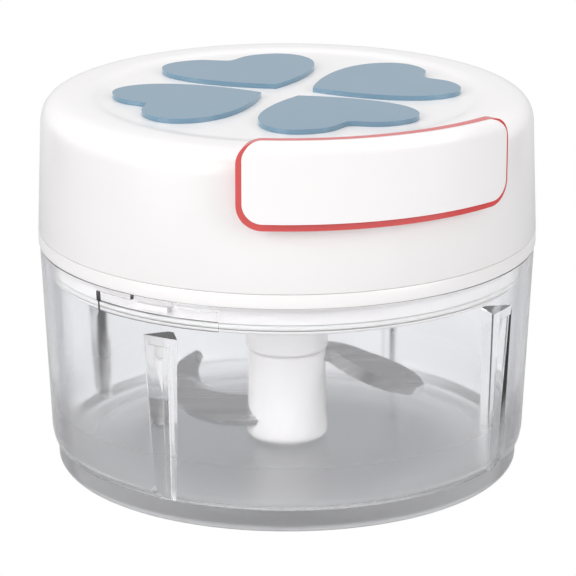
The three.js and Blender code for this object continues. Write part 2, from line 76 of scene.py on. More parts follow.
# %% [markdown]
# ## Camera
# A small product is shot from far away with a long lens, so that its sides stay upright.  The camera stands
# about half a metre off and looks down a little.  It points at the middle of the object, and a small shift
# sets the object in the frame.  The Standard view shows colours as they are.

# %% Camera
CAMERA_DISTANCE = 0.55
CAMERA_DOWN = math.radians(16.87)
LENS = 199.66
AIM = Vector((0, 0, 32 * MM))

bpy.ops.object.select_all(action="DESELECT")
bpy.ops.object.camera_add(
    location=AIM + CAMERA_DISTANCE * Vector((0, -math.cos(CAMERA_DOWN), math.sin(CAMERA_DOWN))),
    rotation=(math.pi / 2 - CAMERA_DOWN, 0, 0),
)
camera = bpy.context.object
camera.data.lens = LENS
camera.data.sensor_width = 36
camera.data.shift_x = 0.0016
camera.data.shift_y = -0.0207
camera.data.clip_start = 0.01
bpy.context.scene.camera = camera
bpy.context.scene.view_settings.view_transform = "Standard"
print("camera at", [round(value, 3) for value in camera.location], "with a", LENS, "mm lens")

# %% [markdown]
# ## Light
# White plastic on white needs light that is broad and soft.  Two large panels stand at the front left and
# front right, and a weaker one hangs above, so that the sides come out brighter than the lid's top.

# %% Light panels
def panel(name, place, size, power, aim=(0, 0, 0.03)):
    """A square area light that faces a point."""
    bpy.ops.object.light_add(type="AREA", location=place)
    light = bpy.context.object
    light.name = name
    light.data.size = size
    light.data.energy = power
    light.rotation_euler = (Vector(aim) - Vector(place)).to_track_quat("-Z", "Y").to_euler()
    print(name, "at", place, "gives", power, "W")


panel("panel_left", (-0.62, -0.5, 0.33), 0.55, 3.9)
panel("panel_right", (0.62, -0.42, 0.28), 0.45, 2.4)
panel("panel_top", (-0.05, 0.1, 0.75), 0.5, 1.7)

# %% [markdown]
# ## World and floor
# The world and the floor are white where the camera sees them.  All other light finds a grey studio, which
# gives the clear bowl its grey tones.  A Light Path node tells the two apart.  Under the bowl the floor is
# darker for light that has come through the plastic, as the shade under a real bowl is.

# %% World
STUDIO_GREY = 0.62
SEEN_WHITE = 1.0


def seen_or_studio(nodes, links, white, studio):
    """Mix two shader outputs: the first for what the camera sees directly, the second for all other light."""
    path = nodes.new("ShaderNodeLightPath")
    mix = nodes.new("ShaderNodeMixShader")
    links.new(path.outputs["Is Camera Ray"], mix.inputs["Fac"])
    links.new(studio, mix.inputs[1])
    links.new(white, mix.inputs[2])
    return mix.outputs["Shader"]


world = bpy.data.worlds.new("studio")
bpy.context.scene.world = world
world.use_nodes = True
world_nodes, world_links = world.node_tree.nodes, world.node_tree.links
world_nodes.clear()
seen = world_nodes.new("ShaderNodeBackground")
seen.inputs["Color"].default_value = (SEEN_WHITE, SEEN_WHITE, SEEN_WHITE, 1)
room = world_nodes.new("ShaderNodeBackground")
place_in_sky = world_nodes.new("ShaderNodeTexCoord")
split = world_nodes.new("ShaderNodeSeparateXYZ")
ramp = world_nodes.new("ShaderNodeValToRGB")
ramp.color_ramp.elements[0].position = 0.0
ramp.color_ramp.elements[0].color = (0.34, 0.34, 0.345, 1)
ramp.color_ramp.elements[1].position = 1.0
ramp.color_ramp.elements[1].color = (0.62, 0.62, 0.63, 1)
horizon = ramp.color_ramp.elements.new(0.5)
horizon.color = (0.66, 0.66, 0.665, 1)
height = world_nodes.new("ShaderNodeMapRange")
height.inputs["From Min"].default_value = -1
world_links.new(place_in_sky.outputs["Generated"], split.inputs["Vector"])
world_links.new(split.outputs["Z"], height.inputs["Value"])
world_links.new(height.outputs["Result"], ramp.inputs["Fac"])
world_links.new(ramp.outputs["Color"], room.inputs["Color"])
world_out = world_nodes.new("ShaderNodeOutputWorld")
world_links.new(
    seen_or_studio(world_nodes, world_links, seen.outputs[0], room.outputs[0]),
    world_out.inputs["Surface"],
)
print("world:", [[round(value, 2) for value in stop.color[:3]] for stop in ramp.color_ramp.elements])

# %% Floor
SHADE_INNER = 22 * MM
SHADE_OUTER = 46 * MM


def two_tones(nodes, links, share, first, second):
    """A colour between two tones, by a share between 0 and 1."""
    tone = nodes.new("ShaderNodeMix")
    tone.data_type = "RGBA"
    tone.inputs[6].default_value = (*first, 1)
    tone.inputs[7].default_value = (*second, 1)
    links.new(share, tone.inputs["Factor"])
    return tone.outputs[2]


bpy.ops.mesh.primitive_plane_add(size=6, location=(0, 0, -0.0002))
floor = bpy.context.object
floor.name = "floor"
floor_paint = bpy.data.materials.new("floor_paper")
floor_paint.use_nodes = True
floor_nodes, floor_links = floor_paint.node_tree.nodes, floor_paint.node_tree.links
floor_nodes.clear()
paper_white = floor_nodes.new("ShaderNodeEmission")
paper_white.inputs["Color"].default_value = (SEEN_WHITE, SEEN_WHITE, SEEN_WHITE, 1)
paper_grey = floor_nodes.new("ShaderNodeBsdfDiffuse")
paper_grey.inputs["Color"].default_value = (STUDIO_GREY, STUDIO_GREY, STUDIO_GREY, 1)
paper_through = floor_nodes.new("ShaderNodeEmission")
floor_place = floor_nodes.new("ShaderNodeTexCoord")
from_centre = floor_nodes.new("ShaderNodeVectorMath")
from_centre.operation = "LENGTH"
shade_edge = floor_nodes.new("ShaderNodeMapRange")
shade_edge.interpolation_type = "SMOOTHSTEP"
shade_edge.inputs["From Min"].default_value = SHADE_INNER
shade_edge.inputs["From Max"].default_value = SHADE_OUTER
floor_links.new(floor_place.outputs["Object"], from_centre.inputs[0])
floor_links.new(from_centre.outputs["Value"], shade_edge.inputs["Value"])
shade_tone = two_tones(
    floor_nodes, floor_links, shade_edge.outputs["Result"], (0.40, 0.405, 0.415), (0.88, 0.885, 0.90))
floor_links.new(shade_tone, paper_through.inputs["Color"])
floor_path = floor_nodes.new("ShaderNodeLightPath")
other_light = floor_nodes.new("ShaderNodeMixShader")
floor_links.new(floor_path.outputs["Is Transmission Ray"], other_light.inputs["Fac"])
floor_links.new(paper_grey.outputs[0], other_light.inputs[1])
floor_links.new(paper_through.outputs[0], other_light.inputs[2])
floor_out = floor_nodes.new("ShaderNodeOutputMaterial")
floor_links.new(
    seen_or_studio(floor_nodes, floor_links, paper_white.outputs[0], other_light.outputs[0]),
    floor_out.inputs["Surface"],
)
floor.data.materials.append(floor_paint)
print("floor shade from", SHADE_INNER, "to", SHADE_OUTER, "m")

# %% [markdown]
# ## Dark cards
# Clear plastic on white needs something dark at its sides, or its edges vanish.  In a studio, black cards
# stand left and right of it, just out of the frame.  Here two planes do that, hidden from the camera.

# %% Dark cards
CARD_PLACE = (0.17, 0.03, 0.03)
CARD_SIZE = (0.06, 0.22)
card_black = bpy.data.materials.new("card_black")
card_black.use_nodes = True
card_shader = card_black.node_tree.nodes["Principled BSDF"]
card_shader.inputs["Base Color"].default_value = (0.12, 0.12, 0.135, 1)
card_shader.inputs["Roughness"].default_value = 0.9
for side, label in ((-1, "left"), (1, "right")):
    bpy.ops.mesh.primitive_plane_add(
        size=1, location=(side * CARD_PLACE[0], *CARD_PLACE[1:]), rotation=(0, math.pi / 2, 0))
    card = bpy.context.object
    card.name = "dark_card_" + label
    card.scale = (*CARD_SIZE, 1)
    card.visible_camera = False
    card.data.materials.append(card_black)
    print(card.name, "at", [round(value, 3) for value in card.location])

# %% [markdown]
# ## Shared surface effects
# Moulded plastic is never quite even: its skin has a faint orange-peel, and handling leaves it a little
# duller in places.  Ground steel has fine lines.  The bowl's floor and its inner corner are hazy, while its
# wall is clear.  Each effect is one node group, and a material that needs it places the group with its own
# values.

# %% Skin of moulded plastic
def new_group(name, inputs, outputs):
    """An empty shader group with number inputs and the given outputs."""
    group = bpy.data.node_groups.new(name, "ShaderNodeTree")
    for label, value in inputs.items():
        socket = group.interface.new_socket(label, in_out="INPUT", socket_type="NodeSocketFloat")
        socket.default_value = value
    for label, kind in outputs.items():
        group.interface.new_socket(label, in_out="OUTPUT", socket_type=kind)
    group_in = group.nodes.new("NodeGroupInput")
    group_out = group.nodes.new("NodeGroupOutput")
    return group, group_in, group_out


def make_moulded_skin():
    """Faint orange-peel as a normal, a roughness that wanders about a middle value, and its mask."""
    group, given, result = new_group(
        "moulded_skin",
        {"Peel Scale": 900.0, "Peel Depth": 0.05, "Roughness": 0.3, "Handling": 0.06},
        {"Normal": "NodeSocketVector", "Roughness": "NodeSocketFloat", "Mask": "NodeSocketFloat"},
    )
    nodes, links = group.nodes, group.links
    place = nodes.new("ShaderNodeTexCoord")
    peel = nodes.new("ShaderNodeTexNoise")
    peel.inputs["Detail"].default_value = 2
    links.new(place.outputs["Object"], peel.inputs["Vector"])
    links.new(given.outputs["Peel Scale"], peel.inputs["Scale"])
    bump = nodes.new("ShaderNodeBump")
    bump.inputs["Distance"].default_value = 0.0002
    links.new(peel.outputs["Fac"], bump.inputs["Height"])
    links.new(given.outputs["Peel Depth"], bump.inputs["Strength"])
    links.new(bump.outputs["Normal"], result.inputs["Normal"])
    smudge = nodes.new("ShaderNodeTexNoise")
    smudge.inputs["Scale"].default_value = 55
    smudge.inputs["Detail"].default_value = 4
    links.new(place.outputs["Object"], smudge.inputs["Vector"])
    centred = nodes.new("ShaderNodeMath")
    centred.operation = "SUBTRACT"
    centred.inputs[1].default_value = 0.5
    links.new(smudge.outputs["Fac"], centred.inputs[0])
    spread = nodes.new("ShaderNodeMath")
    spread.operation = "MULTIPLY_ADD"
    links.new(centred.outputs[0], spread.inputs[0])
    links.new(given.outputs["Handling"], spread.inputs[1])
    links.new(given.outputs["Roughness"], spread.inputs[2])
    links.new(spread.outputs[0], result.inputs["Roughness"])
    links.new(smudge.outputs["Fac"], result.inputs["Mask"])
    return group


moulded_skin = make_moulded_skin()
print(moulded_skin.name, "has", len(moulded_skin.nodes), "nodes")


# %% Lines of ground steel
def make_ground_lines():
    """Fine parallel grinding lines along X, as a normal, a roughness and a mask."""
    group, given, result = new_group(
        "ground_lines",
        {"Fineness": 2600.0, "Depth": 0.25, "Roughness": 0.25, "Spread": 0.2},
        {"Normal": "NodeSocketVector", "Roughness": "NodeSocketFloat", "Mask": "NodeSocketFloat"},
    )
    nodes, links = group.nodes, group.links
    place = nodes.new("ShaderNodeTexCoord")
    stretch = nodes.new("ShaderNodeMapping")
    stretch.inputs["Scale"].default_value = (0.04, 1, 0.3)
    links.new(place.outputs["Object"], stretch.inputs["Vector"])
    lines = nodes.new("ShaderNodeTexNoise")
    lines.inputs["Detail"].default_value = 3
    links.new(stretch.outputs["Vector"], lines.inputs["Vector"])
    links.new(given.outputs["Fineness"], lines.inputs["Scale"])
    bump = nodes.new("ShaderNodeBump")
    bump.inputs["Distance"].default_value = 0.0001
    links.new(lines.outputs["Fac"], bump.inputs["Height"])
    links.new(given.outputs["Depth"], bump.inputs["Strength"])
    links.new(bump.outputs["Normal"], result.inputs["Normal"])
    spread = nodes.new("ShaderNodeMath")
    spread.operation = "MULTIPLY_ADD"
    links.new(lines.outputs["Fac"], result.inputs["Mask"])
    links.new(lines.outputs["Fac"], spread.inputs[0])
    links.new(given.outputs["Spread"], spread.inputs[1])
    links.new(given.outputs["Roughness"], spread.inputs[2])
    links.new(spread.outputs[0], result.inputs["Roughness"])
    return group


ground_lines = make_ground_lines()
print(ground_lines.name, "has", len(ground_lines.nodes), "nodes")


# %% Haze of the bowl's floor
HAZE_OUTER_R = 40.2 * MM
HAZE_FULL_R = 39.7 * MM
HAZE_TOP = 18 * MM
HAZE_FULL_HEIGHT = 8 * MM
CORNER_START_R = 33 * MM
CORNER_FULL_R = 36.2 * MM


def ramp_between(nodes, links, value, start, stop):
    """A share that goes from 0 to 1 as a value goes from start to stop."""
    ramp_node = nodes.new("ShaderNodeMapRange")
    ramp_node.inputs["From Min"].default_value = start
    ramp_node.inputs["From Max"].default_value = stop
    links.new(value, ramp_node.inputs["Value"])
    return ramp_node


def make_floor_haze():
    """Roughness of the bowl: clear walls, and a hazy floor and corner inside, from height and radius."""
    group, given, result = new_group(
        "floor_haze", {"Clear": 0.05, "Floor": 0.15, "Corner": 0.3}, {"Roughness": "NodeSocketFloat"})
    nodes, links = group.nodes, group.links
    place = nodes.new("ShaderNodeTexCoord")
    parts = nodes.new("ShaderNodeSeparateXYZ")
    links.new(place.outputs["Object"], parts.inputs["Vector"])
    flat = nodes.new("ShaderNodeCombineXYZ")
    links.new(parts.outputs["X"], flat.inputs["X"])
    links.new(parts.outputs["Y"], flat.inputs["Y"])
    radius = nodes.new("ShaderNodeVectorMath")
    radius.operation = "LENGTH"
    links.new(flat.outputs["Vector"], radius.inputs[0])
    inside = ramp_between(nodes, links, radius.outputs["Value"], HAZE_OUTER_R, HAZE_FULL_R)
    low_down = ramp_between(nodes, links, parts.outputs["Z"], HAZE_TOP, HAZE_FULL_HEIGHT)
    outwards = ramp_between(nodes, links, radius.outputs["Value"], CORNER_START_R, CORNER_FULL_R)
    links.new(given.outputs["Floor"], outwards.inputs["To Min"])
    links.new(given.outputs["Corner"], outwards.inputs["To Max"])
    both = nodes.new("ShaderNodeMath")
    both.operation = "MULTIPLY"
    links.new(inside.outputs["Result"], both.inputs[0])
    links.new(low_down.outputs["Result"], both.inputs[1])
    blend = nodes.new("ShaderNodeMapRange")
    links.new(both.outputs[0], blend.inputs["Value"])
    links.new(given.outputs["Clear"], blend.inputs["To Min"])
    links.new(outwards.outputs["Result"], blend.inputs["To Max"])
    links.new(blend.outputs["Result"], result.inputs["Roughness"])
    return group


floor_haze = make_floor_haze()
print(floor_haze.name, "has", len(floor_haze.nodes), "nodes")

# %% [markdown]
# ## Materials
# Each finish is its own material.  Even values are set on the shader itself, and only what changes over
# the surface is linked: tone, roughness and the fine normal.  The opaque plastics differ in two close
# tones, roughness and gloss coat, so one function makes them all.

# %% Plastics
def start_material(name):
    """A material with only its Principled shader."""
    material = bpy.data.materials.new(name)
    material.use_nodes = True
    tree = material.node_tree
    return material, tree.nodes, tree.links, tree.nodes["Principled BSDF"]


def plastic(name, shade, deep, roughness, coat=0.25):
    """Moulded plastic: two close tones, orange-peel and a thin gloss."""
    material, nodes, links, shader = start_material(name)
    skin = nodes.new("ShaderNodeGroup")
    skin.node_tree = moulded_skin
    skin.inputs["Roughness"].default_value = roughness
    tone = two_tones(nodes, links, skin.outputs["Mask"], shade, deep)
    links.new(tone, shader.inputs["Base Color"])
    links.new(skin.outputs["Roughness"], shader.inputs["Roughness"])
    links.new(skin.outputs["Normal"], shader.inputs["Normal"])
    shader.inputs["Coat Weight"].default_value = coat
    shader.inputs["Coat Roughness"].default_value = 0.12
    print("plastic:", name)
    return material


white_plastic = plastic("white_plastic", (0.86, 0.845, 0.84), (0.84, 0.825, 0.82), 0.3)
blue_plastic = plastic("blue_plastic", (0.152, 0.272, 0.368), (0.138, 0.256, 0.354), 0.3, coat=0.6)
red_plastic = plastic("red_plastic", (0.68, 0.085, 0.08), (0.63, 0.07, 0.068), 0.28, coat=0.5)
grey_plastic = plastic("grey_mechanism_plastic", (0.10, 0.105, 0.11), (0.075, 0.08, 0.085), 0.45, coat=0.05)
silicone = plastic("white_silicone", (0.78, 0.78, 0.77), (0.74, 0.74, 0.73), 0.6, coat=0.0)

# %% [markdown]
# ## Clear plastic
# The bowl is a clear moulding with the refraction of styrene or acrylic.  Its skin is a little wavy, which
# draws out what is behind it.  Where the wall is seen at a slant it is painted greyer, a painted shade for
# the dark edges of clear plastic, and a ramp on the Layer Weight node gives it.

# %% Clear plastic
def make_clear_plastic():
    """Clear moulded plastic, a little wavy, with painted shade where it is seen at a slant."""
    material, nodes, links, shader = start_material("clear_plastic")
    # Painted shade: the ramp turns the wall greyer where it is seen at a slant.
    slant = nodes.new("ShaderNodeLayerWeight")
    painted_edge_shade = nodes.new("ShaderNodeValToRGB")
    painted_edge_shade.color_ramp.elements[0].position = 0.62
    painted_edge_shade.color_ramp.elements[0].color = (0.975, 0.976, 0.986, 1)
    painted_edge_shade.color_ramp.elements[1].position = 1.0
    painted_edge_shade.color_ramp.elements[1].color = (0.95, 0.95, 0.965, 1)
    for where, grey in ((0.7, 0.6), (0.84, 0.72)):
        stop = painted_edge_shade.color_ramp.elements.new(where)
        stop.color = (grey, grey, grey + 0.03, 1)
    links.new(slant.outputs["Facing"], painted_edge_shade.inputs["Fac"])
    links.new(painted_edge_shade.outputs["Color"], shader.inputs["Base Color"])
    shader.inputs["Transmission Weight"].default_value = 1
    shader.inputs["IOR"].default_value = 1.49
    haze = nodes.new("ShaderNodeGroup")
    haze.node_tree = floor_haze
    haze.inputs["Clear"].default_value = 0.05
    haze.inputs["Floor"].default_value = 0.17
    haze.inputs["Corner"].default_value = 0.4
    links.new(haze.outputs["Roughness"], shader.inputs["Roughness"])
    skin = nodes.new("ShaderNodeGroup")
    skin.node_tree = moulded_skin
    skin.inputs["Peel Scale"].default_value = 90
    skin.inputs["Peel Depth"].default_value = 0.12
    links.new(skin.outputs["Normal"], shader.inputs["Normal"])
    return material


clear_plastic = make_clear_plastic()
print("clear plastic:", clear_plastic.name)

# %% [markdown]
# ## Steel and cord
# The blades are stamped and ground, the screws and washers are turned, and the springs are blued by heat.
# All three are bare metal with grinding lines of their own depth.  The cord is laid from strands of braided
# thread, and the plaits of the thread are a diagonal wave that serves as a bump and as a painted shade in
# the grooves between them.

# %% Steel
def metal(name, shade, deep, roughness, depth, fineness=2600.0):
    """Bare metal with grinding lines and two close tones."""
    material, nodes, links, shader = start_material(name)
    shader.inputs["Metallic"].default_value = 1
    lines = nodes.new("ShaderNodeGroup")
    lines.node_tree = ground_lines
    lines.inputs["Fineness"].default_value = fineness
    lines.inputs["Depth"].default_value = depth
    lines.inputs["Roughness"].default_value = roughness
    tone = two_tones(nodes, links, lines.outputs["Mask"], deep, shade)
    links.new(tone, shader.inputs["Base Color"])
    links.new(lines.outputs["Normal"], shader.inputs["Normal"])
    links.new(lines.outputs["Roughness"], shader.inputs["Roughness"])
    print("metal:", name)
    return material


blade_steel = metal("blade_steel", (0.86, 0.86, 0.87), (0.5, 0.5, 0.52), 0.16, 0.35, 900)
turned_steel = metal("turned_steel", (0.62, 0.62, 0.64), (0.52, 0.52, 0.54), 0.2, 0.2)
spring_steel = metal("spring_steel", (0.3, 0.32, 0.38), (0.22, 0.24, 0.3), 0.25, 0.15)


# %% Cord
def make_cord_weave():
    """Braided thread: fine diagonal plaits as a bump, and painted shade in the grooves between them."""
    material, nodes, links, shader = start_material("cord_weave")
    place = nodes.new("ShaderNodeTexCoord")
    plait = nodes.new("ShaderNodeTexWave")
    plait.bands_direction = "DIAGONAL"
    plait.inputs["Scale"].default_value = 420
    plait.inputs["Distortion"].default_value = 1.2
    links.new(place.outputs["Object"], plait.inputs["Vector"])
    # Painted shade: the tone is darker in the grooves between the plaits.
    tone = two_tones(nodes, links, plait.outputs["Fac"], (0.62, 0.6, 0.56), (0.86, 0.84, 0.8))
    bump = nodes.new("ShaderNodeBump")
    bump.inputs["Distance"].default_value = 0.0002
    bump.inputs["Strength"].default_value = 0.6
    links.new(plait.outputs["Fac"], bump.inputs["Height"])
    links.new(tone, shader.inputs["Base Color"])
    links.new(bump.outputs["Normal"], shader.inputs["Normal"])
    shader.inputs["Roughness"].default_value = 0.8
    shader.inputs["Sheen Weight"].default_value = 0.3
    return material


cord_weave = make_cord_weave()
print("cord:", cord_weave.name)

# %% [markdown]
# ## Turning round pieces
# Most of the chopper is round, so one helper makes the bowl, the lid and the column.  It works as a person
# would at the screen: add a circle, extrude it, scale the new ring, lift it, and go on to the next point of
# the outline.  Round corners in the outline are arcs, worked out from a centre and a radius.  Spin would do
# as well, but leaves a seam to merge.

# %% Turned pieces
def arc(centre_r, centre_z, radius, start, stop, steps=6):
    """Points on a round corner, angles in degrees: 0 points outwards and 90 points up."""
    turns = [math.radians(start + (stop - start) * i / steps) for i in range(steps + 1)]
    return [(centre_r + radius * math.cos(t), centre_z + radius * math.sin(t)) for t in turns]


def finish_piece(piece, smooth_below=32):
    """Merge seams, face outwards, put the place into the mesh and shade the gentle edges smooth."""
    bpy.ops.object.mode_set(mode="EDIT")
    bpy.ops.mesh.select_all(action="SELECT")
    bpy.ops.mesh.remove_doubles(threshold=1e-6)
    bpy.ops.mesh.normals_make_consistent(inside=False)
    bpy.ops.object.mode_set(mode="OBJECT")
    bpy.ops.object.transform_apply(location=True, rotation=True, scale=True)
    bpy.ops.object.shade_smooth_by_angle(angle=math.radians(smooth_below))
    return piece


def turn(name, outline, sides=180, ring=False):
    """Turn an outline of (radius, height) pairs in millimetres round the Z axis.
    An open outline is closed by flat caps, and a ring joins its end to its start."""
    bpy.ops.object.select_all(action="DESELECT")
    radius, height = outline[0]
    bpy.ops.mesh.primitive_circle_add(vertices=sides, radius=radius * MM, location=(0, 0, height * MM))
    piece = bpy.context.object
    piece.name = piece.data.name = name
    bpy.ops.object.mode_set(mode="EDIT")
    for next_radius, next_height in outline[1:] + (outline[:1] if ring else []):
        bpy.ops.mesh.extrude_region_move(
            TRANSFORM_OT_translate={"value": (0, 0, (next_height - height) * MM)})
        grow = next_radius / radius
        bpy.ops.transform.resize(value=(grow, grow, 1), center_override=(0, 0, 0))
        radius, height = next_radius, next_height
    if not ring:
        bpy.ops.mesh.select_all(action="SELECT")
        bpy.ops.mesh.fill_holes(sides=0)
    return finish_piece(piece)


print("a round corner has", len(arc(10, 0, 1, 0, 90)), "points")

# %% [markdown]
# ## Flat outlines and booleans
# Hearts, blades, lugs and cutting tools are flat outlines raised to a height.  The circle that starts them
# has one point for each point of the outline, and the points are moved into place before it is extruded.
# Tools are joined or cut with an exact Boolean modifier, which is applied at once.

# %% Prisms
def prism(name, outline, bottom, top, top_outline=None):
    """A flat outline of (x, y) pairs in millimetres, raised from bottom to top.
    The top may have an outline of its own, with as many points."""
    bpy.ops.object.select_all(action="DESELECT")
    bpy.ops.mesh.primitive_circle_add(vertices=len(outline), fill_type="NGON", radius=MM)
    piece = bpy.context.object
    piece.name = piece.data.name = name
    bpy.ops.object.mode_set(mode="EDIT")
    mesh = bmesh.from_edit_mesh(piece.data)
    for vertex, (x, y) in zip(mesh.verts, outline):
        vertex.co = (x * MM, y * MM, bottom * MM)
    bmesh.update_edit_mesh(piece.data)
    bpy.ops.mesh.extrude_region_move(TRANSFORM_OT_translate={"value": (0, 0, (top - bottom) * MM)})
    if top_outline:
        mesh = bmesh.from_edit_mesh(piece.data)
        mesh.verts.ensure_lookup_table()
        raised = [vertex for vertex in mesh.verts if vertex.select]
        for vertex in raised:
            index = min(range(len(outline)),
                        key=lambda i: (vertex.co.xy - Vector(outline[i]) * MM).length)
            vertex.co.xy = Vector(top_outline[index]) * MM
        bmesh.update_edit_mesh(piece.data)
    return finish_piece(piece)


def turn_about_z(piece, degrees):
    """Turn a finished piece round the Z axis and put the turn into its mesh."""
    bpy.ops.object.select_all(action="DESELECT")
    piece.select_set(True)
    bpy.context.view_layer.objects.active = piece
    piece.rotation_euler = (0, 0, math.radians(degrees))
    bpy.ops.object.transform_apply(location=True, rotation=True, scale=True)
    return piece


# %% Modifiers and places
def apply_modifier(piece, kind, **settings):
    """Add a modifier, set it and apply it at once."""
    bpy.ops.object.select_all(action="DESELECT")
    piece.select_set(True)
    bpy.context.view_layer.objects.active = piece
    modifier = piece.modifiers.new(kind.lower(), kind)
    for label, value in settings.items():
        setattr(modifier, label, value)
    bpy.ops.object.modifier_apply(modifier=modifier.name)


def combine(piece, tool, operation):
    """Join a tool to a piece, or cut it away, and remove the tool."""
    apply_modifier(piece, "BOOLEAN", object=tool, operation=operation, solver="EXACT")
    bpy.data.objects.remove(tool)
    return piece


def paint(piece, material):
    """Give a piece one material."""
    piece.data.materials.clear()
    piece.data.materials.append(material)


def settle(piece, material, body, slot, *nodes):
    """Paint a piece, let it ride on its body and stand for its nodes of the working model."""
    paint(piece, material)
    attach(piece, body)
    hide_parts(*nodes)
    print(f"{piece.name}: {len(piece.data.vertices)} points")


def polar(radius, degrees):
    """A point at an angle from -Y, turned towards +X."""
    return (radius * math.sin(math.radians(degrees)), -radius * math.cos(math.radians(degrees)))


def sector(inner, outer, start, stop, steps=14):
    """Outline of a stretch of a flat ring."""
    angles = [start + (stop - start) * i / steps for i in range(steps + 1)]
    return [polar(outer, a) for a in angles] + [polar(inner, a) for a in reversed(angles)]


print("a stretch of ring has", len(sector(1, 2, 0, 90)), "points")

# %% [markdown]
# ## Bowl
# The bowl is one clear moulding: a wall that opens towards the top, a stepped foot and a thick floor.
# Four upright folds stand in the wall to break up the food.  Each is a groove outside and a ridge inside,
# with a sloping facet at its head.  The wall is turned, and the folds are joined and cut with booleans.
# Under the rim two pockets take the lid's lugs, each with a notch where the lug drops in.  The wall has a
# few more rings than its shape needs, because a cut spoils the smooth shading of the faces it crosses, and
# short faces keep that small.  The bowl throws no shadow, since Cycles would draw clear plastic's too dark.

# %% Bowl wall
BOWL_WALL = 1.5
BOWL_FLOOR = 3.5
INNER_CORNER = 3.0
BOWL_FOOT_R = 39.7
BOWL_FOOT_TOP = 4.1
BOWL_LOW_R = 40.85
BOWL_LOW = 7.9
BOWL_RIM_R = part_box("bowl")[1].x / MM
BOWL_RIM = high("bowl")
FOOT_EDGE = 1.6
RIM_EDGE = 0.15
WALL_TOP_R = BOWL_RIM_R - BOWL_WALL
INSIDE_LOW_R = BOWL_LOW_R - BOWL_WALL
CORNER_TOP = BOWL_FLOOR + INNER_CORNER
WALL_LEAN = BOWL_RIM_R - BOWL_LOW_R

bowl_outline = (
    [(2, 0), (BOWL_FOOT_R - 1.9, 0)]
    + arc(BOWL_FOOT_R - FOOT_EDGE, FOOT_EDGE, FOOT_EDGE, -80, 0)
    + [(BOWL_FOOT_R, BOWL_FOOT_TOP)]
    + [(BOWL_FOOT_R + 0.05 + (BOWL_LOW_R - BOWL_FOOT_R - 0.05) * math.sin(t),
        BOWL_LOW - (BOWL_LOW - BOWL_FOOT_TOP) * math.cos(t))
       for t in [math.radians(90 * i / 10) for i in range(11)]]
    + [(BOWL_LOW_R + WALL_LEAN * share, BOWL_LOW + (BOWL_RIM - BOWL_LOW) * share)
       for share in (0.02, 0.25, 0.5, 0.7, 0.8, 0.9, 0.97)]
    + [(BOWL_RIM_R - 0.02, BOWL_RIM - 2 * RIM_EDGE)]
    + arc(BOWL_RIM_R - RIM_EDGE, BOWL_RIM - RIM_EDGE, RIM_EDGE, 0, 90, 4)
    + arc(WALL_TOP_R + RIM_EDGE, BOWL_RIM - RIM_EDGE, RIM_EDGE, 90, 180, 4)
    + [(INSIDE_LOW_R + WALL_LEAN * share, CORNER_TOP + (BOWL_RIM - CORNER_TOP) * share)
       for share in (0.99, 0.95, 0.8, 0.65, 0.5, 0.25, 0.02, 0)]
    + arc(INSIDE_LOW_R - INNER_CORNER, CORNER_TOP, INNER_CORNER, 0, -90, 10)[1:]
    + [(2, BOWL_FLOOR)]
)
bowl = turn("clear_bowl", bowl_outline, sides=240)
print("bowl wall:", len(bowl_outline), "points in its outline")

# %% Folds
FOLD_ANGLES = (-30, 60, 150, 240)
FOLD_TIP_R = 37.2
FOLD_HALF_WIDTH = 2.25
FOLD_DEPTH = 1.1
FOLD_TOP = 31.2
FOLD_BOTTOM = 4.4
FACET_FOOT = 22.5
RIDGE_BLUNT = 0.5
RIDGE_SLOPE = 0.827
OUTSIDE_R = 44


def wall_outside(height):
    """Outer radius of the straight part of the wall."""
    return BOWL_LOW_R + WALL_LEAN * (height - BOWL_LOW) / (BOWL_RIM - BOWL_LOW)


def ridge_section(root):
    """Section of the inward ridge, from its blunt tip to a root inside the wall."""
    wide = RIDGE_BLUNT + (root - FOLD_TIP_R) * RIDGE_SLOPE
    return [(FOLD_TIP_R, RIDGE_BLUNT), (FOLD_TIP_R, -RIDGE_BLUNT), (root, -wide), (root, wide)]


def fold_ridge(degrees):
    """The inward ridge of one fold, its root following the lean of the wall."""
    bottom = BOWL_FLOOR - 0.4
    top = FOLD_TOP + 1.3
    low_root, top_root = [wall_outside(z) - BOWL_WALL + 0.3 for z in (bottom, top)]
    ridge = prism("ridge", ridge_section(low_root), bottom, top, ridge_section(top_root))
    return turn_about_z(ridge, degrees - 90)


def groove_section(height):
    """Section of the outside groove at a height: a wide V that starts in the wall."""
    tip = wall_outside(height) - FOLD_DEPTH
    mouth = FOLD_HALF_WIDTH * (OUTSIDE_R - tip) / FOLD_DEPTH
    return [(tip, 0.02), (tip, -0.02), (OUTSIDE_R, -mouth), (OUTSIDE_R, mouth)]


def fold_groove(degrees):
    """The outward groove of one fold, leaning with the wall, with a sloping facet at its head."""
    tool = prism("groove", groove_section(FOLD_BOTTOM), FOLD_BOTTOM, FOLD_TOP, groove_section(FOLD_TOP))
    bpy.ops.object.mode_set(mode="EDIT")
    bpy.ops.mesh.select_all(action="SELECT")
    rise = Vector((FOLD_TOP - FACET_FOOT, 0, -FOLD_DEPTH)).normalized()
    bpy.ops.mesh.bisect(
        plane_co=((wall_outside(FACET_FOOT) - FOLD_DEPTH) * MM, 0, FACET_FOOT * MM),
        plane_no=rise, use_fill=True, clear_inner=True)
    bpy.ops.object.mode_set(mode="OBJECT")
    return turn_about_z(tool, degrees - 90)


for angle in FOLD_ANGLES:
    combine(bowl, fold_ridge(angle), "UNION")
    combine(bowl, fold_groove(angle), "DIFFERENCE")
print("bowl with folds:", len(bowl.data.vertices), "points")

# %% Pockets for the lugs
LUG_ANGLES = (-31.7, 148.3)
CUT_FROM_R = 38.5
POCKET_R = 41.6
POCKET_LOW, POCKET_HIGH = 36.4, 38.1
POCKET_HALF = 16.3
RELIEF_R = 41
RELIEF_LOW = 34.7
NOTCH_HALF = 5.5


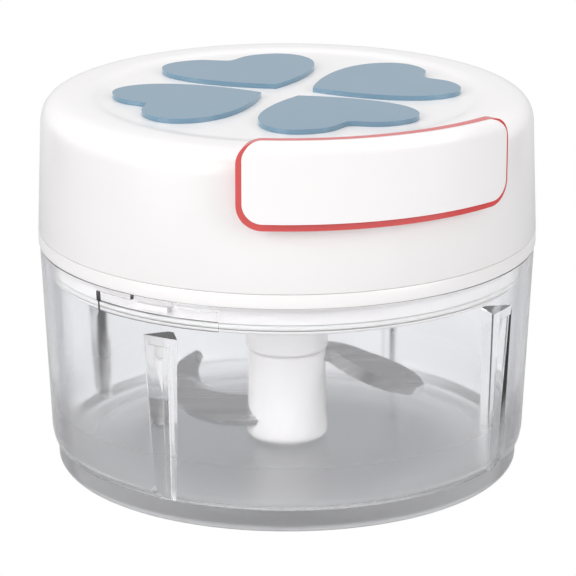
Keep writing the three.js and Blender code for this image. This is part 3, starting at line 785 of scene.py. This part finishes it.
def cut_round(outer, half, bottom, top, steps=14):
    """Cut a stretch of a ring out of the bowl's wall, at both lugs."""
    for angle in LUG_ANGLES:
        shape = sector(CUT_FROM_R, outer, angle - half, angle + half, steps)
        combine(bowl, prism("cut", shape, bottom, top), "DIFFERENCE")


cut_round(POCKET_R, POCKET_HALF, POCKET_LOW, POCKET_HIGH)
cut_round(RELIEF_R, POCKET_HALF, RELIEF_LOW, POCKET_LOW + 0.1)
cut_round(POCKET_R, NOTCH_HALF, POCKET_HIGH - 0.1, BOWL_RIM + 0.8, 6)
bpy.ops.object.shade_smooth_by_angle(angle=math.radians(32))
bowl.visible_shadow = False
settle(bowl, clear_plastic, "bowl", "clear", "bowl")

# %% [markdown]
# ## Lid
# The lid is a white cap over a white base.  The cap's side leans in by about a degree and turns over a
# squarish shoulder into a flat top, so its outline is a formula rather than a plain arc.  The middle of
# the top lies a little lower than its edge, and a round way for the cord is cut through the side.

# %% Lid cap
LID_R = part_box("lid_base")[1].x / MM
PARTING = high("lid_base") - 1.6
LID_TOP = high("lid_shell")
CAP_WALL = 1.9
SHOULDER_R = 41.77
SHOULDER_Z = LID_TOP - 4.75
SHOULDER_POWER = 4.6
SHOULDER_ROUND = 2.28
FLAT_R = 33.0
TOP_SINK = 0.45
PULL_ANGLE = 20.5
CORD_Z = 56.2
CORD_WAY_R = 3.1


def shoulder(steps=26):
    """The squarish turn from the flat top down to the side."""
    points = []
    for i in range(steps + 1):
        share = math.sin(math.pi / 2 * i / steps) ** 0.6
        rest = max(0.0, 1 - share ** SHOULDER_POWER)
        points.append((FLAT_R + (SHOULDER_R - FLAT_R) * share,
                       SHOULDER_Z + (LID_TOP - SHOULDER_Z) * rest ** (1 / SHOULDER_ROUND)))
    return points


cap_outline = (
    [(2, LID_TOP - TOP_SINK), (30, LID_TOP - TOP_SINK), (31.6, LID_TOP - TOP_SINK * 0.9),
     (32.4, LID_TOP - TOP_SINK * 0.5)]
    + shoulder()
    + [(LID_R - 0.01, PARTING + 0.18), (LID_R - 0.05, PARTING + 0.09), (LID_R - 0.16, PARTING + 0.04),
       (LID_R - CAP_WALL, PARTING + 0.04), (SHOULDER_R - CAP_WALL, SHOULDER_Z),
       (SHOULDER_R - CAP_WALL - 1.6, LID_TOP - CAP_WALL - 0.6), (FLAT_R, LID_TOP - CAP_WALL),
       (2, LID_TOP - CAP_WALL)]
)
cap = turn("lid_cap", cap_outline, sides=240)


def round_bar(name, radius, start, stop, sides=48):
    """A round bar along the pull direction, between two distances from the axis."""
    bpy.ops.object.select_all(action="DESELECT")
    middle = polar((start + stop) / 2 * MM, PULL_ANGLE)
    bpy.ops.mesh.primitive_cylinder_add(
        vertices=sides, radius=radius * MM, depth=(stop - start) * MM,
        location=(*middle, CORD_Z * MM), rotation=(math.pi / 2, 0, math.radians(PULL_ANGLE)))
    bar = bpy.context.object
    bar.name = name
    bpy.ops.object.transform_apply(location=True, rotation=True, scale=True)
    return bar


combine(cap, round_bar("cord_way", CORD_WAY_R, 36, 48), "DIFFERENCE")
bpy.ops.object.shade_smooth_by_angle(angle=math.radians(32))
settle(cap, white_plastic, "lid", "white", "lid_shell")

# %% [markdown]
# ## Lid base and seal
# The base closes the cap from below.  Its flange shows as a fine line round the lid, its plug shows through
# the bowl as a white band, and two lugs on the plug hold the lid in the bowl's pockets.  It is turned as a
# closed ring with a groove, and a silicone ring sits in the groove.

# %% Lid base
PLUG_R = 40.15
LUG_R = 41.3
LUG_HALF = 4.1
LUG_LOW, LUG_HIGH = 36.9, 37.8
PLUG_LOW = low("lid_base")
WEB = PLUG_LOW + 3.2
FLANGE = BOWL_RIM + 0.05
SEAL_LOW = low("lid_seal")
SEAL_HIGH = high("lid_seal")

base_outline = (
    [(7.4, WEB), (PLUG_R - 2.6, WEB)]
    + arc(PLUG_R - 2.5, WEB - 0.5, 0.5, 90, 0, 4)
    + arc(PLUG_R - 1.5, PLUG_LOW + 0.5, 0.5, 180, 270, 4)
    + arc(PLUG_R - 0.6, PLUG_LOW + 0.6, 0.6, -90, 0, 5)
    + [(PLUG_R, SEAL_LOW - 0.1), (PLUG_R - 0.8, SEAL_LOW - 0.1), (PLUG_R - 0.8, SEAL_HIGH + 0.1),
       (PLUG_R, SEAL_HIGH + 0.1), (PLUG_R, FLANGE)]
    + arc(LID_R - 0.25, FLANGE + 0.25, 0.25, -90, 0, 4)
    + [(LID_R, PARTING - 0.14), (LID_R - 0.04, PARTING - 0.05), (LID_R - 0.16, PARTING - 0.01),
       (LID_R - 2.2, PARTING), (LID_R - 2.3, PARTING + 1.6), (LID_R - 3.6, PARTING + 1.6),
       (LID_R - 3.6, WEB + 2), (10.5, WEB + 2), (10.5, WEB + 3.6), (7.4, WEB + 3.6)]
)
base = turn("lid_base_tray", base_outline, sides=240, ring=True)
for angle in LUG_ANGLES:
    lug_shape = sector(PLUG_R - 0.6, LUG_R, angle - LUG_HALF, angle + LUG_HALF, 6)
    combine(base, prism("lug", lug_shape, LUG_LOW, LUG_HIGH), "UNION")
bpy.ops.object.shade_smooth_by_angle(angle=math.radians(32))
settle(base, white_plastic, "lid", "white", "lid_base")

# %% Seal
seal = turn("lid_seal_ring", (
    arc(PLUG_R - 0.2, (SEAL_LOW + SEAL_HIGH) / 2, 0.44, -90, 90, 8)
    + [(PLUG_R - 0.65, SEAL_HIGH), (PLUG_R - 0.65, SEAL_LOW)]
), sides=240, ring=True)
settle(seal, silicone, "seal", "seal", "lid_seal")

# %% [markdown]
# ## Hearts
# The four hearts are raised inlays with softly rounded edges, set point to point like a clover.  One
# outline of Bezier stretches is raised, and its top edge is bevelled.  That heart is copied three times, each
# copy with its own mesh, and each is turned by a quarter.  The clover as a whole is a little wider than deep.

# %% Hearts
HEART_TOP = high("heart_1")
HEART_THICK = 1.1
HEART_EDGE = 0.42
HEART_TURN = PULL_ANGLE + 2.7
CLOVER_WIDTH, CLOVER_DEPTH = 1.01, 0.94
HEART_CURVE = (
    ((25.3, 0), (25.9, 2.2), (28.1, 3), (28.1, 6.7)),
    ((28.1, 6.7), (28.1, 10.4), (26.2, 13.5), (21.4, 13.5)),
    ((21.4, 13.5), (15.8, 13.5), (9.1, 7.4), (4.7, 0)),
)


def bezier(points, steps):
    """Points along one cubic stretch, without its last."""
    a, b, c, d = [Vector(point) for point in points]
    for i in range(steps):
        t = i / steps
        yield tuple(a * (1 - t) ** 3 + b * 3 * t * (1 - t) ** 2 + c * 3 * t * t * (1 - t) + d * t ** 3)


def heart_outline():
    """The half from cleft to point, then the same half mirrored, back to the cleft."""
    half = [point for part in HEART_CURVE for point in bezier(part, 16)] + [HEART_CURVE[-1][-1]]
    return half + [(x, -y) for x, y in reversed(half[1:-1])]


heart = prism("heart_inlay_1", heart_outline(), HEART_TOP - HEART_THICK, HEART_TOP)
bpy.ops.object.mode_set(mode="EDIT")
bpy.ops.mesh.select_all(action="DESELECT")
mesh = bmesh.from_edit_mesh(heart.data)
for edge in mesh.edges:
    edge.select = all(abs(vertex.co.z - HEART_TOP * MM) < 1e-6 for vertex in edge.verts)
bmesh.update_edit_mesh(heart.data)
bpy.ops.mesh.bevel(offset=HEART_EDGE * MM, segments=4, affect="EDGES", clamp_overlap=True)
bpy.ops.object.mode_set(mode="OBJECT")
bpy.ops.object.shade_smooth_by_angle(angle=math.radians(40))

hearts = [heart]
for index in range(1, 4):
    bpy.ops.object.select_all(action="DESELECT")
    heart.select_set(True)
    bpy.context.view_layer.objects.active = heart
    bpy.ops.object.duplicate()
    copy = bpy.context.object
    copy.name = copy.data.name = f"heart_inlay_{index + 1}"
    hearts.append(copy)
for index, piece in enumerate(hearts):
    turn_about_z(piece, HEART_TURN + 90 * index - 90)
    piece.scale = (CLOVER_WIDTH, CLOVER_DEPTH, 1)
    bpy.ops.object.transform_apply(location=True, rotation=True, scale=True)
    settle(piece, blue_plastic, "lid", "blue", f"heart_{index + 1}")

# %% [markdown]
# ## Pull grip
# The grip is a curved white plate with rounded corners, and a red piece shows all round behind it.  Both
# start as a flat grid whose rows are shortened towards the ends to round the corners.  Solidify gives it
# its thickness, Bevel rounds its edges, and the plate is then wrapped round the lid.  The rim is set less
# than a degree to the side, so that red shows at both ends of the grip.

# %% Grip plate and red rim
GRIP_LOW, GRIP_HIGH = low("handle_grip"), high("handle_grip")
RIM_LOW, RIM_HIGH = low("handle_rim"), high("handle_rim")
GRIP_BACK_R, GRIP_R = 44.75, 46.1
RIM_BACK_R, RIM_R = 42.5, 44.6
GRIP_REACH, RIM_REACH = 29.4, 31.8


def flat_plate(name, half_width, half_height, thick, corner, round_edge):
    """A flat plate with rounded corners and edges, lying on its back in X and Y."""
    bpy.ops.object.select_all(action="DESELECT")
    bpy.ops.mesh.primitive_grid_add(x_subdivisions=80, y_subdivisions=44, size=2)
    plate = bpy.context.object
    plate.name = plate.data.name = name
    for vertex in plate.data.vertices:
        across, up = vertex.co.x, math.sin(vertex.co.y * math.pi / 2)
        into_corner = max(0.0, abs(up) * half_height - (half_height - corner)) / corner
        reach = half_width - corner * (1 - math.sqrt(max(0.0, 1 - into_corner ** 2)))
        vertex.co = (across * reach * MM, up * half_height * MM, 0)
    finish_piece(plate)
    apply_modifier(plate, "SOLIDIFY", thickness=thick * MM, offset=1.0)
    apply_modifier(plate, "BEVEL", width=round_edge * MM, segments=5, limit_method="ANGLE",
                   angle_limit=math.radians(50))
    return plate


def wrap_round_lid(plate, back_r, thick, middle, eased=0.0, eased_height=2.4, shifted=0.0):
    """Stand a flat plate up and wrap it round the lid, so that it keeps its length at its back.
    The front of its top edge may be eased back, and the plate shifted sideways by a few degrees."""
    top = max(vertex.co.y for vertex in plate.data.vertices) / MM
    for vertex in plate.data.vertices:
        across, up, out = vertex.co / MM
        rise = max(0.0, up - (top - eased_height)) / eased_height
        radius = back_r + out - eased * rise ** 2 * (out / thick)
        x, y = polar(radius, PULL_ANGLE + shifted + math.degrees(across / back_r))
        vertex.co = (x * MM, y * MM, (middle + up) * MM)
    finish_piece(plate, 40)
    return plate


grip_thick = GRIP_R - GRIP_BACK_R
grip = flat_plate("grip_plate", GRIP_BACK_R * math.radians(GRIP_REACH), (GRIP_HIGH - GRIP_LOW) / 2,
                  grip_thick, 3.2, 0.9)
wrap_round_lid(grip, GRIP_BACK_R, grip_thick, (GRIP_HIGH + GRIP_LOW) / 2, eased=0.75)
settle(grip, white_plastic, "handle", "white", "handle_grip")

rim_thick = RIM_R - RIM_BACK_R
rim = flat_plate("grip_rim", RIM_BACK_R * math.radians(RIM_REACH), (RIM_HIGH - RIM_LOW) / 2,
                 rim_thick, 4.0, 0.7)
wrap_round_lid(rim, RIM_BACK_R, rim_thick, (RIM_HIGH + RIM_LOW) / 2, shifted=0.8)
combine(rim, round_bar("eyelet_room", 4.5, 40, 43.3), "DIFFERENCE")
bpy.ops.object.shade_smooth_by_angle(angle=math.radians(40))
settle(rim, red_plastic, "handle", "red", "handle_rim")

# %% [markdown]
# ## Eyelet
# The cord leaves the lid through a white eyelet behind the grip.  The eyelet is turned like the other
# round pieces and then laid along the pull.

# %% Eyelet
def lay_along_pull(piece):
    """Lay a piece that was turned round Z along the pull direction, at the cord's height."""
    piece.rotation_euler = (math.pi / 2, 0, math.radians(PULL_ANGLE))
    piece.location = (0, 0, CORD_Z * MM)
    bpy.ops.object.transform_apply(location=True, rotation=True, scale=True)
    return piece


eyelet = turn("cord_eyelet_ring", (
    [(1.5, 37.2), (2.8, 37.2), (2.8, 42.2), (4.1, 42.2)]
    + arc(3.5, 42.4, 0.6, 0, 90, 5)
    + arc(2.0, 42.5, 0.5, 90, 180, 5)
), sides=64, ring=True)
lay_along_pull(eyelet)
settle(eyelet, white_plastic, "lid", "white", "cord_eyelet")

# %% [markdown]
# ## Pull cord
# The cord is laid from three strands, so its section is a clover that twists as it goes.  It is not
# attached to a body, and its place is put into its mesh.

# %% Pull cord
CORD_R = 1.0
STRANDS = 3
CORD_STEPS = 60
LAY_LENGTH = 3.2


def strand_outline(turned_by):
    """Section of a laid cord: a circle that swells at each strand."""
    points = []
    for i in range(36):
        angle = 2 * math.pi * i / 36
        swell = CORD_R * (0.86 + 0.13 * abs(math.cos(STRANDS / 2 * (angle - turned_by))))
        points.append((swell * math.cos(angle), swell * math.sin(angle)))
    return points


CORD_START, CORD_END = 36.4, 43.3
cord = prism("pull_cord", strand_outline(0), CORD_START, CORD_END)
bpy.ops.object.mode_set(mode="EDIT")
bpy.ops.mesh.select_all(action="DESELECT")
mesh = bmesh.from_edit_mesh(cord.data)
for edge in mesh.edges:
    edge.select = abs(edge.verts[0].co.z - edge.verts[1].co.z) > MM
bmesh.update_edit_mesh(cord.data)
bpy.ops.mesh.subdivide(number_cuts=CORD_STEPS)
bpy.ops.object.mode_set(mode="OBJECT")
for vertex in cord.data.vertices:
    twist = (vertex.co.z / MM - CORD_START) / LAY_LENGTH * 2 * math.pi / STRANDS
    vertex.co = Matrix.Rotation(twist, 3, "Z") @ vertex.co
bpy.ops.object.select_all(action="DESELECT")
cord.select_set(True)
bpy.context.view_layer.objects.active = cord
lay_along_pull(cord)
bpy.ops.object.shade_smooth_by_angle(angle=math.radians(60))
paint(cord, cord_weave)
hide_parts("cord_outer")
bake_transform(cord)
print("cord from", CORD_START, "to", CORD_END, "mm along the pull")

# %% [markdown]
# ## Blade column
# A white column stands on the bowl's spindle.  Its collar sits on top, with a six-sided head that enters
# the drive in the lid.  Both are turned, and the head is a bevelled prism joined to the collar.

# %% Column and collar
COLUMN_LOW = low("blade_column")
COLLAR_LOW = low("blade_collar")
COLLAR_TOP = 36.4
COLUMN_R = 6.8
COLLAR_R = 7.1
HEX_R = 4.3

column = turn("column_sleeve", (
    [(2, COLUMN_LOW + 3), (3.1, COLUMN_LOW + 3), (3.1, COLUMN_LOW)]
    + arc(6.0, COLUMN_LOW + 1.0, 1.0, -90, 0, 6)
    + [(7.0, COLUMN_LOW + 2.2), (COLUMN_R, COLUMN_LOW + 3.6), (COLUMN_R - 0.12, COLLAR_LOW - 0.9)]
    + arc(COLUMN_R - 0.72, COLLAR_LOW - 0.7, 0.6, 0, 90, 5)
    + [(2, COLLAR_LOW - 0.1)]
), sides=96)
settle(column, white_plastic, "blade", "white", "blade_column")

collar = turn("column_collar", (
    [(2, COLLAR_LOW)]
    + arc(COLLAR_R - 0.7, COLLAR_LOW + 0.7, 0.7, -90, 0, 6)
    + arc(COLLAR_R - 0.4, COLLAR_TOP - 0.4, 0.4, 0, 90, 4)
    + [(2, COLLAR_TOP)]
), sides=96)
hexagon = [polar(HEX_R, 60 * i + 30) for i in range(6)]
head = prism("hex_head", hexagon, COLLAR_TOP - 0.5, high("blade_collar"))
apply_modifier(head, "BEVEL", width=0.3 * MM, segments=2)
combine(collar, head, "UNION")
bpy.ops.object.shade_smooth_by_angle(angle=math.radians(32))
settle(collar, white_plastic, "blade", "white", "blade_collar")

# %% [markdown]
# ## Blades
# Two steel blades stick out of the column, one high and one low.  Each is a flat curved plate that is ground
# to a slope along one edge and pitched like a propeller.  A smooth line runs through a few centre points,
# and the width at each point gives the two edges.

# %% Blades
BLADE_THICK = 1.0
GRIND = 2.0


def blade_line(centre, widths, steps=44):
    """Two edges of a blade, from a smooth centre line and the width along it."""
    count = len(centre) - 1

    def between(values, t):
        k = min(count - 1, int(t * count))
        s = t * count - k
        p0, p1, p2, p3 = [values[max(0, min(count, k + j))] for j in (-1, 0, 1, 2)]
        return 0.5 * ((2 * p1) + (p2 - p0) * s + (2 * p0 - 5 * p1 + 4 * p2 - p3) * s * s
                      + (3 * p1 - p0 - 3 * p2 + p3) * s ** 3)

    left, right = [], []
    for i in range(steps + 1):
        t = i / steps
        at = Vector([between([point[axis] for point in centre], t) for axis in (0, 1)])
        ahead = Vector([between([point[axis] for point in centre], min(1, t + 0.01)) for axis in (0, 1)])
        behind = Vector([between([point[axis] for point in centre], max(0, t - 0.01)) for axis in (0, 1)])
        along = (ahead - behind).normalized()
        half = max(0.2, between(widths, t)) / 2
        left.append((at.x - along.y * half, at.y + along.x * half))
        right.append((at.x + along.y * half, at.y - along.x * half))
    return left, right


def make_blade(name, centre, widths, pitch, z):
    """A curved plate, ground to a slope along its right edge, then pitched and lifted into place."""
    left, right = blade_line(centre, widths)
    ground = []
    for a, b in zip(left, right):
        across = Vector(b) - Vector(a)
        step = min(GRIND, across.length * 0.45)
        ground.append(tuple(Vector(b) - across.normalized() * step))
    blade = prism(name, left + right[::-1], -BLADE_THICK / 2, BLADE_THICK / 2, left + ground[::-1])
    blade.rotation_euler = (math.radians(pitch), 0, 0)
    blade.location = (0, 0, z * MM)
    bpy.ops.object.transform_apply(location=True, rotation=True, scale=True)
    bpy.ops.object.shade_smooth_by_angle(angle=math.radians(20))
    return blade


upper = make_blade(
    "blade_upper", [(4, 0.6), (8.5, -0.6), (12.4, -4.2), (16.2, -7.6), (19.7, -10.8), (22, -13.2)],
    [4.4, 5.4, 7, 7.6, 6.4, 3.2], pitch=12, z=18.7)
settle(upper, blade_steel, "blade", "blade_steel", "upper_blade")
lower = make_blade(
    "blade_lower", [(-4, -0.4), (-9.5, -0.6), (-14.5, 1), (-17.6, 4.8), (-17.6, 9.6), (-15.6, 13.6)],
    [8.6, 9.4, 8.6, 6.4, 4, 1.4], pitch=22, z=9.0)
settle(lower, blade_steel, "blade", "blade_steel", "lower_blade")

# %% [markdown]
# ## Working parts inside
# The reel, its spring and the clutch keep the shapes of the working model, because their working faces must
# stay true.  They only need their finishes, which the slots in the record choose.

# %% Finishes of the working parts
FINISHES = {
    "steel": turned_steel,
    "spring_steel": spring_steel,
    "mechanism": grey_plastic,
    "cord": cord_weave,
    "seal": silicone,
    "white": white_plastic,
    "blue": blue_plastic,
    "red": red_plastic,
    "clear": clear_plastic,
    "blade_steel": blade_steel,
}
for entry in frame["record"]["subparts"]:
    node = frame["nodes"][entry["node"]]
    paint(node, FINISHES[entry["material_slot"]])
print("finished nodes:", len(frame["nodes"]))
